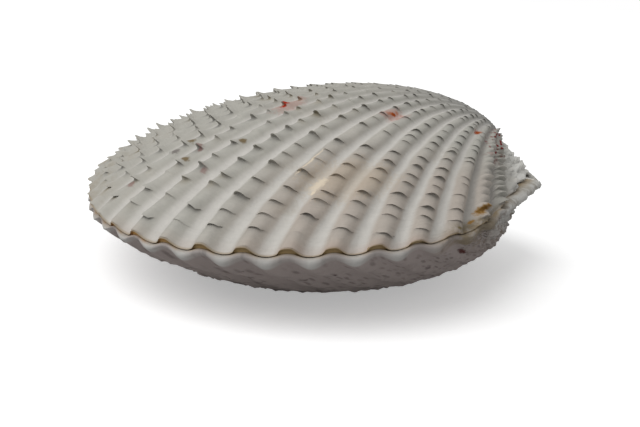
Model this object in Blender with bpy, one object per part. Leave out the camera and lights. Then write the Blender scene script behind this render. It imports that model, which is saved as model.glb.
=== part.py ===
"""A closed file clam: two ribbed valves and the hinge ligament between their beaks, at rest on the lower valve.

Each valve is a horn. Its mouth is the margin where the two valves meet, and every older margin is a smaller
copy of it, turned about the hinge line and drawn in towards the beak. Ribs run along the horn from the beak
to the margin, and rows of upright scales cross them. The valves' ribs alternate, so the margins interlock.

Lengths are in metres. In the growth frame the margin lies in the plane z = 0, the hinge line is the y axis,
the beak is above the origin and the ventral end is at +x. A last turn sets the shell down on its lower valve.
"""

from math import cos, exp, log, pi, radians, sin, sqrt

import bmesh
import bpy
from mathutils import Matrix, Vector

# The margin: an ellipse for the body, blunted beyond the middle of the ventral end, and a straight shoulder
# from it to each end of the hinge line.
BODY_CENTRE_X = 0.0450
BODY_CENTRE_Y = -0.0012
BODY_HALF_LENGTH = 0.0343
BODY_HALF_WIDTH = 0.0334
BLUNT_SHARE = 0.099
BLUNT_MIDDLE = radians(-11.9)
BLUNT_WIDTH = radians(20.0)
NEAR_SHOULDER = radians(45.2)
FAR_SHOULDER = radians(49.5)
SHOULDER_X = 0.0270
NEAR_SHOULDER_Y = 0.0272
FAR_SHOULDER_Y = 0.0295
UPPER_HINGE_END = 0.0080
LOWER_HINGE_END = 0.0118
FAR_HINGE_END = 0.0112

# The horn: how fast it grows as it turns, how much it straightens near the beak, and the beak's height.
# The mouth turns in a little more over its last growth. Each pair is for the upper valve and the lower.
GROWTH_PER_TURN = 1.552
STRAIGHTENING = 0.70
BEAK_HEIGHT = 0.00405
MOUTH_TURN = (0.0135, 0.0692)
MOUTH_POWER = (21.5, 6.5)
WIDTH_POWER = (1.045, 0.722)
FLATNESS = (1.0, 0.744)

# Ribs, counted from the one in the middle of the near side; an ear's riblets are farther apart.
RIB_ANGLE = radians(3.79)
RIB_ZERO = radians(24.43)
FIRST_BODY_COUNT = -19.5
LAST_BODY_COUNT = 6.5
EAR_RIB_ANGLE = radians(8.5)
FIRST_COUNT = FIRST_BODY_COUNT - (pi / 2 + RIB_ZERO + FIRST_BODY_COUNT * RIB_ANGLE) / EAR_RIB_ANGLE
LAST_COUNT = LAST_BODY_COUNT + (pi / 2 - RIB_ZERO - LAST_BODY_COUNT * RIB_ANGLE) / EAR_RIB_ANGLE
RIB_HEIGHT = 0.00060
EAR_RIB_HEIGHT = 0.00025
SHOULDERS = (-0.5, -0.2, 0.2)

# Scales: rows across the ribs, each a slow rise from the last row and a sharp step down to the margin side.
SCALE_ROWS = 7
FIRST_ROW = 0.115
LAST_ROW = 0.91
STEP_BACK = 0.014
SCALE_HEIGHT = 0.00105

# The wall, measured in the plane of an old margin, and the gap left between the closed valves.
RIM_WALL = 0.0020
DEEP_WALL = 0.0034
INNER_STAGES = (1.0, 0.88, 0.72, 0.55, 0.38)
INNER_FLOOR = 0.34
HALF_GAP = 0.00015
MEETING_WAVE = 0.0002
EAR_LIFT = 0.00045
HINGE_COLUMNS = 6

# The ligament, a dry pad over the cardinal areas on the dorsal side.
LIGAMENT_HALF_WIDTH = 0.0040
LIGAMENT_HALF_HEIGHT = 0.0034
LIGAMENT_THICKNESS = 0.0011
LIGAMENT_GAP = 0.0003
LIGAMENT_SIDES = 16

# How the shell lies on a level table.
REST_PITCH = radians(-4.0)
REST_ROLL = radians(0.0)
WORN_DEPTH = 0.0003

SHELL_WHITE = (0.62, 0.60, 0.56)
LIGAMENT_BROWN = (0.10, 0.055, 0.03)


def clear_scene():
    """Removes the startup objects."""
    for item in list(bpy.data.objects):
        bpy.data.objects.remove(item, do_unlink=True)


def make_material(name, colour, roughness):
    """A plain Principled material."""
    material = bpy.data.materials.new(name)
    material.use_nodes = True
    shader = material.node_tree.nodes["Principled BSDF"]
    shader.inputs["Base Color"].default_value = (*colour, 1.0)
    shader.inputs["Roughness"].default_value = roughness
    return material


def body_reach(angle):
    """Distance from the hinge middle to the blunted ellipse's far side, in the direction of this angle."""
    across, along = sin(angle), cos(angle)
    square = (along / BODY_HALF_LENGTH) ** 2 + (across / BODY_HALF_WIDTH) ** 2
    towards = along * BODY_CENTRE_X / BODY_HALF_LENGTH**2 + across * BODY_CENTRE_Y / BODY_HALF_WIDTH**2
    outside = (BODY_CENTRE_X / BODY_HALF_LENGTH) ** 2 + (BODY_CENTRE_Y / BODY_HALF_WIDTH) ** 2 - 1.0
    reach = (towards + sqrt(max(towards * towards - square * outside, 0.0))) / square
    return reach * (1.0 - BLUNT_SHARE * exp(-(((angle - BLUNT_MIDDLE) / BLUNT_WIDTH) ** 2)))


def shoulder_reach(angle, hinge_end, shoulder_y):
    """Distance from the hinge middle to the straight edge of an ear."""
    slope = (shoulder_y - hinge_end) / SHOULDER_X
    return hinge_end / (sin(angle) - slope * cos(angle))


def margin_reach(angle, side):
    """Distance from the hinge middle to the margin; side is 1 for the upper valve and -1 for the lower."""
    if angle > NEAR_SHOULDER:
        hinge_end = UPPER_HINGE_END if side > 0 else LOWER_HINGE_END
        return shoulder_reach(angle, hinge_end, NEAR_SHOULDER_Y)
    if angle < -FAR_SHOULDER:
        return shoulder_reach(-angle, FAR_HINGE_END, FAR_SHOULDER_Y)
    return body_reach(angle)


def rib_angle(count):
    """Direction of a place counted in ribs; the ears' riblets take up more angle each."""
    inside = min(max(count, FIRST_BODY_COUNT), LAST_BODY_COUNT)
    return RIB_ZERO + inside * RIB_ANGLE + (count - inside) * EAR_RIB_ANGLE


def margin_point(count, side):
    """Place on the margin, by rib count."""
    angle = min(max(rib_angle(count), -pi / 2), pi / 2)
    reach = margin_reach(angle, side)
    return reach * cos(angle), reach * sin(angle)


def horn_point(x, y, stage, side):
    """Where the margin point (x, y) lay when the shell was this share of its full size."""
    valve = 0 if side > 0 else 1
    stage = min(max(stage, 1e-6), 1.0)
    grown = -log(stage) / GROWTH_PER_TURN
    turn = grown / (1.0 + STRAIGHTENING * grown) + MOUTH_TURN[valve] * (1.0 - stage ** MOUTH_POWER[valve])
    along = stage * (x * cos(turn) + BEAK_HEIGHT * sin(turn))
    up = stage * (x * sin(turn) - BEAK_HEIGHT * cos(turn)) + BEAK_HEIGHT
    return Vector((along, stage ** WIDTH_POWER[valve] * y, side * FLATNESS[valve] * up))


def horn_normal(count, stage, side):
    """Outward direction of the smooth horn at a place counted in ribs."""
    ahead = horn_point(*margin_point(count + 0.05, side), stage, side)
    behind = horn_point(*margin_point(count - 0.05, side), stage, side)
    grown = horn_point(*margin_point(count, side), stage * 1.01, side)
    younger = horn_point(*margin_point(count, side), stage * 0.99, side)
    if stage > 0.99:
        grown = horn_point(*margin_point(count, side), 1.0, side)
        younger = horn_point(*margin_point(count, side), 0.98, side)
    return ((grown - younger).cross(ahead - behind) * side).normalized()


def body_share(count):
    """1 on the body's ribs, 0 on the ears."""
    return 1.0 if FIRST_BODY_COUNT < count < LAST_BODY_COUNT else 0.0


def gape(count):
    """How far a valve's near ear stands back from the margin plane."""
    return EAR_LIFT * min(max(count - LAST_BODY_COUNT, 0.0), 1.0)


def outer_columns(side):
    """Rib counts round the outside, three to a rib: a groove and a rib's two shoulders."""
    shift = 0.0 if side > 0 else 0.5
    inner = [rib + shift + part for rib in range(-26, 14) for part in SHOULDERS]
    between = [count for count in inner if FIRST_COUNT + 0.15 < count < LAST_COUNT - 0.15]
    return [FIRST_COUNT, *between, LAST_COUNT]


def outer_vertex(count, stage, scale, side):
    """A point of the ribbed outside; scale is 1 on the lip of a row of scales and 0 between rows."""
    shift = 0.0 if side > 0 else 0.5
    wave = cos(2.0 * pi * (count - shift))
    body = body_share(count)
    height = stage**0.8 * (RIB_HEIGHT * body + EAR_RIB_HEIGHT * (1.0 - body)) * wave
    height += scale * SCALE_HEIGHT * sqrt(stage) * max(wave, 0.0) * (0.35 + 0.65 * body)
    point = horn_point(*margin_point(count, side), stage, side)
    point += horn_normal(count, stage, side) * height
    if stage == 1.0:
        point.z = side * MEETING_WAVE * wave * body
    point.z += side * (HALF_GAP + gape(count)) * stage**6
    return point


def hinge_vertex(y, stage, side):
    """A point of the flat cardinal area between the hinge line and the beak."""
    point = horn_point(0.0, y, stage, side)
    point.z += side * HALF_GAP * stage**6
    return point


def inner_vertex(outer, stage, wall, side):
    """The inside, drawn in from the outside towards the middle of the same old margin."""
    centre = horn_point(BODY_CENTRE_X * 0.9, BODY_CENTRE_Y, stage, side)
    inward = centre - outer
    return outer + inward.normalized() * min(wall, inward.length * 0.6)


def loop_at(stage, scale, side):
    """One closed ring of the outside: ribs from the far hinge end round to the near one, then the hinge."""
    ring = [outer_vertex(count, stage, scale, side) for count in outer_columns(side)]
    near = UPPER_HINGE_END if side > 0 else LOWER_HINGE_END
    for step in range(1, HINGE_COLUMNS):
        y = near + (-FAR_HINGE_END - near) * step / HINGE_COLUMNS
        ring.append(hinge_vertex(y, stage, side))
    return ring


def valve_rings(side):
    """Every ring of a valve, from the beak over the outside to the rim, and back along the inside."""
    rings = [loop_at(0.03, 0.0, side), loop_at(0.07, 0.0, side)]
    for row in range(SCALE_ROWS):
        stage = FIRST_ROW + (LAST_ROW - FIRST_ROW) * row / (SCALE_ROWS - 1)
        rings.append(loop_at(stage, 1.0, side))
        rings.append(loop_at(stage + STEP_BACK, 0.0, side))
    rings.append(loop_at(1.0, 0.0, side))
    for stage in INNER_STAGES:
        depth = (1.0 - stage) / (1.0 - INNER_STAGES[-1])
        wall = RIM_WALL + (DEEP_WALL - RIM_WALL) * min(depth * 2.0, 1.0)
        smooth = []
        for point in loop_at(stage, 0.0, side):
            smooth.append(inner_vertex(point, stage, wall, side))
        rings.append(smooth)
    return rings


def build_valve(name, side, material):
    """A valve as one closed solid, lofted through its rings and closed at the beak and on the inside's floor."""
    shape = bmesh.new()
    loops = []
    for ring in valve_rings(side):
        loops.append([shape.verts.new(point) for point in ring])
    for younger, older in zip(loops, loops[1:]):
        for step in range(len(younger)):
            after = (step + 1) % len(younger)
            shape.faces.new((younger[step], younger[after], older[after], older[step]))
    close_end(shape, loops[0], horn_point(0.0, 0.0, 0.0, side))
    close_end(shape, loops[-1], horn_point(BODY_CENTRE_X * 0.8, BODY_CENTRE_Y, INNER_FLOOR, side))
    bmesh.ops.recalc_face_normals(shape, faces=shape.faces)
    return finish_piece(shape, name, material)


def close_end(shape, loop, tip):
    """Closes one open end of the loft with a cone of triangles to its tip."""
    peak = shape.verts.new(tip)
    for step, vertex in enumerate(loop):
        shape.faces.new((vertex, loop[(step + 1) % len(loop)], peak))


def build_ligament(material):
    """A lens-shaped pad over the hinge line, clear of both valves."""
    shape = bmesh.new()
    bmesh.ops.create_uvsphere(shape, u_segments=LIGAMENT_SIDES, v_segments=6, radius=1.0)
    middle = -LIGAMENT_GAP - LIGAMENT_THICKNESS / 2
    size = Matrix.Diagonal((LIGAMENT_THICKNESS / 2, LIGAMENT_HALF_WIDTH, LIGAMENT_HALF_HEIGHT, 1.0))
    turn = Matrix.Rotation(pi / 2, 4, "Y")
    bmesh.ops.transform(shape, matrix=Matrix.Translation((middle, 0.0, 0.0)) @ size @ turn, verts=shape.verts)
    bmesh.ops.recalc_face_normals(shape, faces=shape.faces)
    return finish_piece(shape, "ligament", material)


def finish_piece(shape, name, material):
    """Turns a bmesh into a named object in the parts collection."""
    mesh = bpy.data.meshes.new(name)
    shape.to_mesh(mesh)
    shape.free()
    mesh.materials.append(material)
    piece = bpy.data.objects.new(name, mesh)
    bpy.data.collections["file_clam_shell"].objects.link(piece)
    return piece


def set_down(pieces):
    """Turns the shell to its rest, wears the lowest scale tips level, and centres the underside."""
    turn = Matrix.Rotation(REST_PITCH, 4, "Y") @ Matrix.Rotation(REST_ROLL, 4, "X") @ Matrix.Rotation(pi, 4, "Z")
    points = [turn @ vertex.co for piece in pieces for vertex in piece.data.vertices]
    low = Vector([min(point[axis] for point in points) for axis in range(3)])
    high = Vector([max(point[axis] for point in points) for axis in range(3)])
    middle = Vector(((low.x + high.x) / 2, (low.y + high.y) / 2, low.z))
    place = Matrix.Translation(-middle) @ turn
    for piece in pieces:
        piece.data.transform(place)
        for vertex in piece.data.vertices:
            vertex.co.z = max(vertex.co.z, WORN_DEPTH) - WORN_DEPTH


def main():
    clear_scene()
    parts = bpy.data.collections.new("file_clam_shell")
    bpy.context.scene.collection.children.link(parts)
    shell = make_material("shell", SHELL_WHITE, 0.75)
    horn = make_material("ligament", LIGAMENT_BROWN, 0.6)
    pieces = [
        build_valve("upper_valve", 1, shell),
        build_valve("lower_valve", -1, shell),
        build_ligament(horn),
    ]
    set_down(pieces)


main()
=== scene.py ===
"""The looks of a closed file clam: two ribbed valves with rows of hooded scales, and their dry ligament.

Each valve is a horn whose mouth is the margin where the valves meet. Geometry Nodes grow it: every older
margin is a smaller copy, turned about the hinge line, with ribs along the horn and hooded scales across each.

Lengths are in metres. In the growth frame the margin lies in the plane z = 0, the hinge line is the y axis,
the beak is above the origin and the ventral end is at +x. The last step lays the shell down as the frame
holds it. Ribs are counted along the margin from the one in the middle of the near side: upwards to the near
ear, and downwards past the ventral end to the far ear. A growth stage is a share of the shell's full size:
0 at the beak and 1 at the margin.

A pair of numbers that names a place says where a change begins and where it is complete. It is counted in
ribs, in ribs downwards if its name ends in ENDWARD, or in growth stages if its name ends in STAGES.
"""

from math import e, pi, radians

import bpy
from mathutils import Euler, Matrix, Vector

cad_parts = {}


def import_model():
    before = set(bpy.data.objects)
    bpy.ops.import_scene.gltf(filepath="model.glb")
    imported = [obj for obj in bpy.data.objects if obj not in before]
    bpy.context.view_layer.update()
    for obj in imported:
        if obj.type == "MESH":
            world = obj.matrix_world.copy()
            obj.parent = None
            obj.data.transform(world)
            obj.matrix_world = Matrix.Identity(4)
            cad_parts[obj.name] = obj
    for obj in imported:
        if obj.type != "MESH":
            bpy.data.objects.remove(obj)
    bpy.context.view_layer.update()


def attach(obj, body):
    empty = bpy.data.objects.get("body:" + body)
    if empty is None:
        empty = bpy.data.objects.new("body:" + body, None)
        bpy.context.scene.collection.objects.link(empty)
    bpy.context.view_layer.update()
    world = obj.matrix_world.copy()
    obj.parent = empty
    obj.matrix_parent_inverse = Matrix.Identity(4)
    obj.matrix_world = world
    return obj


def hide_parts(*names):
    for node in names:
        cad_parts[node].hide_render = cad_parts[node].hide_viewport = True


# The margin: an ellipse for the body, blunted beyond the middle of the ventral end, and a straight shoulder
# from it to each end of the hinge line. The near ear's tip is rounded off over its last ribs.
BODY_CENTRE_X = 0.0450
BODY_CENTRE_Y = -0.0012
BODY_HALF_LENGTH = 0.0343
BODY_HALF_WIDTH = 0.0334
BLUNT_SHARE = 0.099
BLUNT_MIDDLE = radians(-11.9)
BLUNT_WIDTH = radians(20.0)
NEAR_SHOULDER = radians(45.2)
FAR_SHOULDER = radians(49.5)
SHOULDER_X = 0.0270
NEAR_SHOULDER_Y = 0.0272
FAR_SHOULDER_Y = 0.0295
UPPER_HINGE_END = 0.0080
LOWER_HINGE_END = 0.0118
FAR_HINGE_END = 0.0112
ROUNDED_TIP = 0.88
ROUNDED_TIP_RIBS = 1.3

# The horn: how fast it grows as it turns, how much it straightens near the beak, and the beak's height.
# The mouth turns in a little more over its last growth, and the lower valve is the flatter one.
GROWTH_PER_TURN = 1.552
STRAIGHTENING = 0.70
BEAK_HEIGHT = 0.00405
LEAST_STAGE = 1e-6
UPPER_MOUTH_TURN = 0.0135
LOWER_MOUTH_TURN = 0.0692
UPPER_MOUTH_POWER = 21.5
LOWER_MOUTH_POWER = 6.5
UPPER_WIDTH_POWER = 1.045
LOWER_WIDTH_POWER = 0.722
LOWER_FLATNESS = 0.744

# Where ribs stand: the angle from one to the next, and the counts where the ears and the hinge line begin.
RIB_ANGLE = radians(3.79)
RIB_ZERO = radians(24.43)
EAR_RIB_ANGLE = radians(8.5)
FAR_EAR_COUNT = -19.5
NEAR_EAR_COUNT = 6.5
NEAR_END_COUNT = NEAR_EAR_COUNT + (pi / 2 - RIB_ZERO - NEAR_EAR_COUNT * RIB_ANGLE) / EAR_RIB_ANGLE
FAR_END_COUNT = FAR_EAR_COUNT - (pi / 2 + RIB_ZERO + FAR_EAR_COUNT * RIB_ANGLE) / EAR_RIB_ANGLE
NEAR_EAR = (NEAR_EAR_COUNT - 0.3, NEAR_EAR_COUNT + 0.5)
FAR_EAR_ENDWARD = (0.3 - FAR_EAR_COUNT, 0.8 - FAR_EAR_COUNT)
PAST_NEAR_EAR = (NEAR_EAR_COUNT, NEAR_EAR_COUNT + 1.0)
NEAR_TIP = (NEAR_END_COUNT - 1.5, NEAR_END_COUNT - 0.3)
NEAR_END = (NEAR_END_COUNT - 0.5, NEAR_END_COUNT)
FAR_END = (FAR_END_COUNT, FAR_END_COUNT + 0.5)
VENTRAL_ENDWARD = (5.0, 10.0)

# How ribs rise: higher with their distance from the hinge, and on the upper valve beside the near ear.
# Their grooves are narrow except at the margin, and their lines wobble.
UPPER_RIB_HEIGHT = 0.00047
LOWER_RIB_HEIGHT = 0.00022
UPPER_EAR_RIB_HEIGHT = 0.00046
LOWER_EAR_RIB_HEIGHT = 0.35 * UPPER_EAR_RIB_HEIGHT
TALL_RIBS = 1.55
TALL_RIBS_FROM = (3.4, 4.6)
RIB_REACH = 0.062
REACH_POWER = 0.7
RIB_GROWTH_POWER = 0.8
NARROW_GROOVES = 1.35
RIB_WOBBLE = 0.18
WOBBLE_SCALE = 260.0

# Rows of scales across the ribs, crowding towards the margin. They wander from rib to rib, less at the
# ventral end.
ROWS = 23
FIRST_STAGE = 0.02
ROW_CROWDING = 0.80
ROW_WANDER = 0.27
VENTRAL_WANDER = 0.50
STEADY_ENDWARD = (3.0, 7.0)
WANDER_BLEND = (0.32, 0.50)

# One row, ring by ring, as shares of the way to the next row and of the scale's height:
# a slow rise, a thin lip that leans over, the hollow under it, and the floor of the hollow. A scale folds
# over fully once it stands 1 / FOLD_SOON as high as a whole one.
HOOD_ALONG = (0.0, 0.30, 0.58, 0.80, 0.93, 1.0, 0.94, 0.90)
FLAT_ALONG = (0.0, 0.30, 0.58, 0.78, 0.82, 0.86, 0.90, 0.94)
HOOD_HEIGHT = (-0.12, -0.04, 0.12, 0.46, 0.86, 0.93, 0.60, 0.16)
RINGS_PER_ROW = len(HOOD_ALONG)
HOLLOW_FROM = 5.5
FOLD_SOON = 1.4

# Hoods: how far they lean aside, in ribs, and the least and the most of their width and size. A few broke
# off. Those of the first rows are worn and those of the last row small. At the ventral end of the upper valve
# they are more even, slimmer, and low on every other rib.
UPPER_HOOD_WIDTH = 0.25
LOWER_HOOD_WIDTH = 0.16
HOOD_LEAN = 0.10
HOOD_WIDTHS = (0.87, 1.12)
HOOD_SIZES = (0.40, 1.16)
EVEN_HOOD_SIZES = (0.74, 1.10)
LOW_BETWEEN = 0.60
BROKEN_HOODS = (0.04, 0.16)
LAST_HOODS = (0.25, 0.70)
FIRST_HOOD_ROWS = (0.5, 4.5)
FIRST_HOODS = 0.5
SLIM_SCALES = 0.68
SLIM_ENDWARD = (1.0, 6.0)

# Hoods stand square to their rib, so they are skewed where ribs meet the margin at a slant.
SQUARENESS = 0.62
SQUARE_FADE = 0.09
SLANT_REACH = 0.25

# How high scales stand, and how much of that is left from place to place.
UPPER_SCALE_HEIGHT = 0.00080
LOWER_SCALE_HEIGHT = 0.00004
WORN_SCALES = 0.76
WORN_FROM = (-8.0, 0.0)
LOWER_END_SCALES = 10.0
NEAR_SCALES = 0.55
NEAR_SCALES_FROM = (3.2, 4.0)
FAR_OLD_SCALES = 0.25
FAR_OLD_ENDWARD = (1.0, 4.0)
FAR_OLD_STAGES = (0.42, 0.66)
TALL_SCALES = 1.38
TALL_STAGES = (0.66, 0.86)
OLD_SCALES = 0.55
OLD_STAGES = (0.50, 0.86)
EAR_SCALES = 0.6

# Low nodes on the crests between the upper valve's hoods, from the near side to the far ear.
NODE_HEIGHT = 0.00022
NODE_SHAPE = (0.0, 0.15, 0.40, 0.75, 0.85, 0.80, 0.45, 0.10)
NODES_ENDWARD = (-1.0, 3.0)
NODE_STAGES = (0.30, 0.60)

# Beads: on the upper valve, round knobs in place of hoods on the ribs beside the ears, and coarser ones on
# the ears' riblets.
NEAR_BEADS = (4.3, 5.1)
FAR_BEADS_ENDWARD = (18.0, 19.0)
BEAD_HEIGHT = 0.00090
EAR_BEAD_HEIGHT = 0.00085
BEAD_SIZES = (0.5, 1.3)
BEAD_ROUNDNESS = 1.3
EAR_BEAD_ROUNDNESS = 0.7
BEADS_PER_ROW = 1.0
EAR_BEADS_PER_ROW = 0.25
BEAD_FADE = 0.03

# Low knobs all over the lower valve, taller beside its near ear, and at its ventral end, where they also come
# nearer the lip.
KNOB_SCALE = 820.0
KNOB_SPARSENESS = 0.52
KNOB_HEIGHT = 0.0011
EAR_KNOBS = 2.4
EAR_KNOBS_FROM = (3.8, 5.5)
END_KNOBS = 1.5
END_KNOBS_ENDWARD = (1.0, 4.0)
END_KNOB_STAGES = (0.965, 0.990)

# A rough crust at the near corner of both valves, and a fine roughness all over, of coarse and fine noise.
CRUST_SCALE = 1350.0
CRUST_SPARSENESS = 0.46
CRUST_HEIGHT = 0.0017
CRUST_FROM = (3.6, 4.8)
UPPER_CRUST_LAST = 6.2
LOWER_CRUST_LAST = 8.6
CRUST_END = 9.4
UPPER_CRUST_STAGE = 0.93
LOWER_CRUST_STAGE = 0.66
CRUST_STAGE_FADE = 0.05
FINE_ROUGH_SCALE = 700.0
COARSE_ROUGH_SCALE = 300.0
COARSE_ROUGH_SHARE = 1.3
ROUGH_HEIGHT = 0.00012

# The rim, ring by ring: how far in from the outline, the share of the drop to where the valves meet, and how
# brown it is. The lower rim is browner under the upper edge's arches, partly a brown stain and partly painted
# shade. The relief fades out from MARGIN_BLEND.
UPPER_RIM_INSET = (0.00010, 0.00034, 0.00038, 0.00045, 0.00120)
UPPER_RIM_DROP = (0.02, 0.05, 0.45, 1.0, 1.0)
UPPER_RIM_BROWN = (0.60, 1.0, 1.0, 1.0, 1.0)
LOWER_RIM_INSET = (-0.00026, -0.00030, -0.00012, 0.00022, 0.00120)
LOWER_RIM_DROP = (0.30, 0.72, 0.97, 1.0, 1.0)
LOWER_RIM_BROWN = (0.0, 0.0, 0.35, 0.9, 1.0)
EAR_RIM_INSET = (-0.00020, 0.00010, 0.00060, 0.00140, 0.00280)
EAR_RIM_DROP = (0.40, 0.78, 0.97, 1.0, 1.0)
EAR_RIM_BROWN = (0.0, 0.0, 0.1, 0.5, 1.0)
LEAST_BROWN = 0.25
BROWN_WAVE = (-0.9, 0.1)
RIM_RINGS = len(UPPER_RIM_INSET)
MARGIN_BLEND = 0.90

# Where the valves meet: a shared wave with a hair's gap, which opens at the near ear.
HALF_GAP = 0.00002
MEETING_WAVE = 0.00034
EAR_LIFT = 0.00012
EAR_TIP_GAPE = 0.00050

# The upper edge arches over the end of each rib, low at the ventral end and filled at the near corner.
UPPER_EDGE = 0.00010
ARCH_HEIGHT = 0.00056
ARCH_LEAN = 0.5
ARCH_OPENING = (-0.25, 0.80)
LOW_ARCHES = 0.50
FILLED_ARCHES = 0.35
FILLED_FROM = (2.4, 3.6)

# The lower lip: thick and rounded, thinner at the ventral end, level on the ears, and gone along the hinge.
LIP_HEIGHT = 0.00098
LIP_WAVE = 0.00014
THIN_LIP = 0.35
LOW_ENDWARD = (0.0, 6.0)
EAR_LIP = 0.00120
EAR_TIP_LIP = 0.4
FIRST_HINGE_SHARES = (0.0, 0.2)
LAST_HINGE_SHARES = (0.8, 1.0)

# The inside.
INNER_RINGS = 8
INNER_FIRST = 0.965
INNER_LAST = 0.34
INNER_FLOOR_X = BODY_CENTRE_X * 0.8
RIM_WALL = 0.0012
DEEP_WALL = 0.0026
WALL_GROWTH = 3.0

# How much painted shade the hollows ahead of and beyond a hood's lip take, and those between beads.
SHADE_AHEAD = 0.95
SHADE_BEYOND = 0.22
BEAD_SHADE = 0.72
NEAR_SHADE = 0.65
FAR_OLD_SHADE = 0.35

# The valves' seeds, what each random draw adds to them, and how the valves' ribs are set off.
UPPER_SEED = 3.0
LOWER_SEED = 41.0
LEAN_DRAW = 1.0
WIDTH_DRAW = 2.0
SIZE_DRAW = 3.0
BREAK_DRAW = 4.0
BEAD_START_DRAW = 7.0
BEAD_SIZE_DRAW = 8.0
UPPER_RIB_SHIFT = 0.0
LOWER_RIB_SHIFT = 0.5

# Rings and columns of the loft. Columns crowd on the crests of ribs.
COLUMNS_PER_RIB = 15
COLUMNS_PER_EAR_RIB = 10
HINGE_COLUMNS = 12
CREST_CROWDING = 0.30
FAR_COLUMNS = round((FAR_EAR_COUNT - FAR_END_COUNT) * COLUMNS_PER_EAR_RIB)
BODY_COLUMNS = round((NEAR_EAR_COUNT - FAR_EAR_COUNT) * COLUMNS_PER_RIB)
NEAR_COLUMNS = round((NEAR_END_COUNT - NEAR_EAR_COUNT) * COLUMNS_PER_EAR_RIB)
OUTER_COLUMNS = FAR_COLUMNS + BODY_COLUMNS + NEAR_COLUMNS
COLUMNS = OUTER_COLUMNS + HINGE_COLUMNS
OUTER_RINGS = ROWS * RINGS_PER_ROW
RINGS = OUTER_RINGS + RIM_RINGS + INNER_RINGS
SHARP_FOLD = radians(65.0)

# Small steps: to read whole numbers safely, and to either side of a point to find its directions.
HAIR = 0.01
COLUMN_NUDGE = 0.2
WITHIN_BODY = 0.499
RIB_STEP = 0.05
SHARE_STEP = 0.01
STAGE_STEP = 0.01

# The ligament, a dry pad of split layers over the cardinal areas on the dorsal side.
LIGAMENT_HALF_WIDTH = 0.0040
LIGAMENT_HALF_HEIGHT = 0.0034
LIGAMENT_THICKNESS = 0.0011
LIGAMENT_GAP = 0.0003
LIGAMENT_SIDES = 96
LIGAMENT_RINGS = 80
LIGAMENT_LAYERS = 34.0
LIGAMENT_DRIFT = 5.0
LIGAMENT_DRIFT_NOISE = (1.6, 2.0)
LIGAMENT_STEP = 0.16
LIGAMENT_SPLIT = 0.22
LIGAMENT_SPLITS = (0.50, 0.62)
LIGAMENT_SPLIT_NOISE = (2.6, 3.0)
LIGAMENT_SPLIT_STRETCH = 3.0
LIGAMENT_FRAY = 0.25
LIGAMENT_FRAY_NOISE = (6.0, 3.0)
LIGAMENT_PINCH = 0.50

# How the shell lies: the growth frame's tilt, where its origin goes, and the level that no tip passes.
REST_PITCH = radians(-4.0)
REST_PLACE = Vector((0.036506, -0.000906, 0.015152))
WORN_LEVEL = 0.0

# The camera.
CAMERA_PLACE = Vector((-0.094357, -0.129061, 0.044575))
CAMERA_TARGET = Vector((-0.010081, -0.014554, 0.011894))
CAMERA_ROLL = radians(5.306)
CAMERA_LENS = 59.08
SENSOR_WIDTH = 36.0
NEAREST_SEEN = 0.005
FARTHEST_SEEN = 20.0


# Nodes, written as sums.


class Field:
    """A number or colour that varies over a surface: one output of a node, with sums written as usual."""

    def __init__(self, tree, socket):
        self.tree = tree
        self.socket = socket

    def __add__(self, other):
        return self.tree.math("ADD", self, other)

    def __radd__(self, other):
        return self.tree.math("ADD", other, self)

    def __sub__(self, other):
        return self.tree.math("SUBTRACT", self, other)

    def __rsub__(self, other):
        return self.tree.math("SUBTRACT", other, self)

    def __mul__(self, other):
        return self.tree.math("MULTIPLY", self, other)

    def __rmul__(self, other):
        return self.tree.math("MULTIPLY", other, self)

    def __truediv__(self, other):
        return self.tree.math("DIVIDE", self, other)

    def __rtruediv__(self, other):
        return self.tree.math("DIVIDE", other, self)

    def __neg__(self):
        return self.tree.math("MULTIPLY", self, -1.0)


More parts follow.
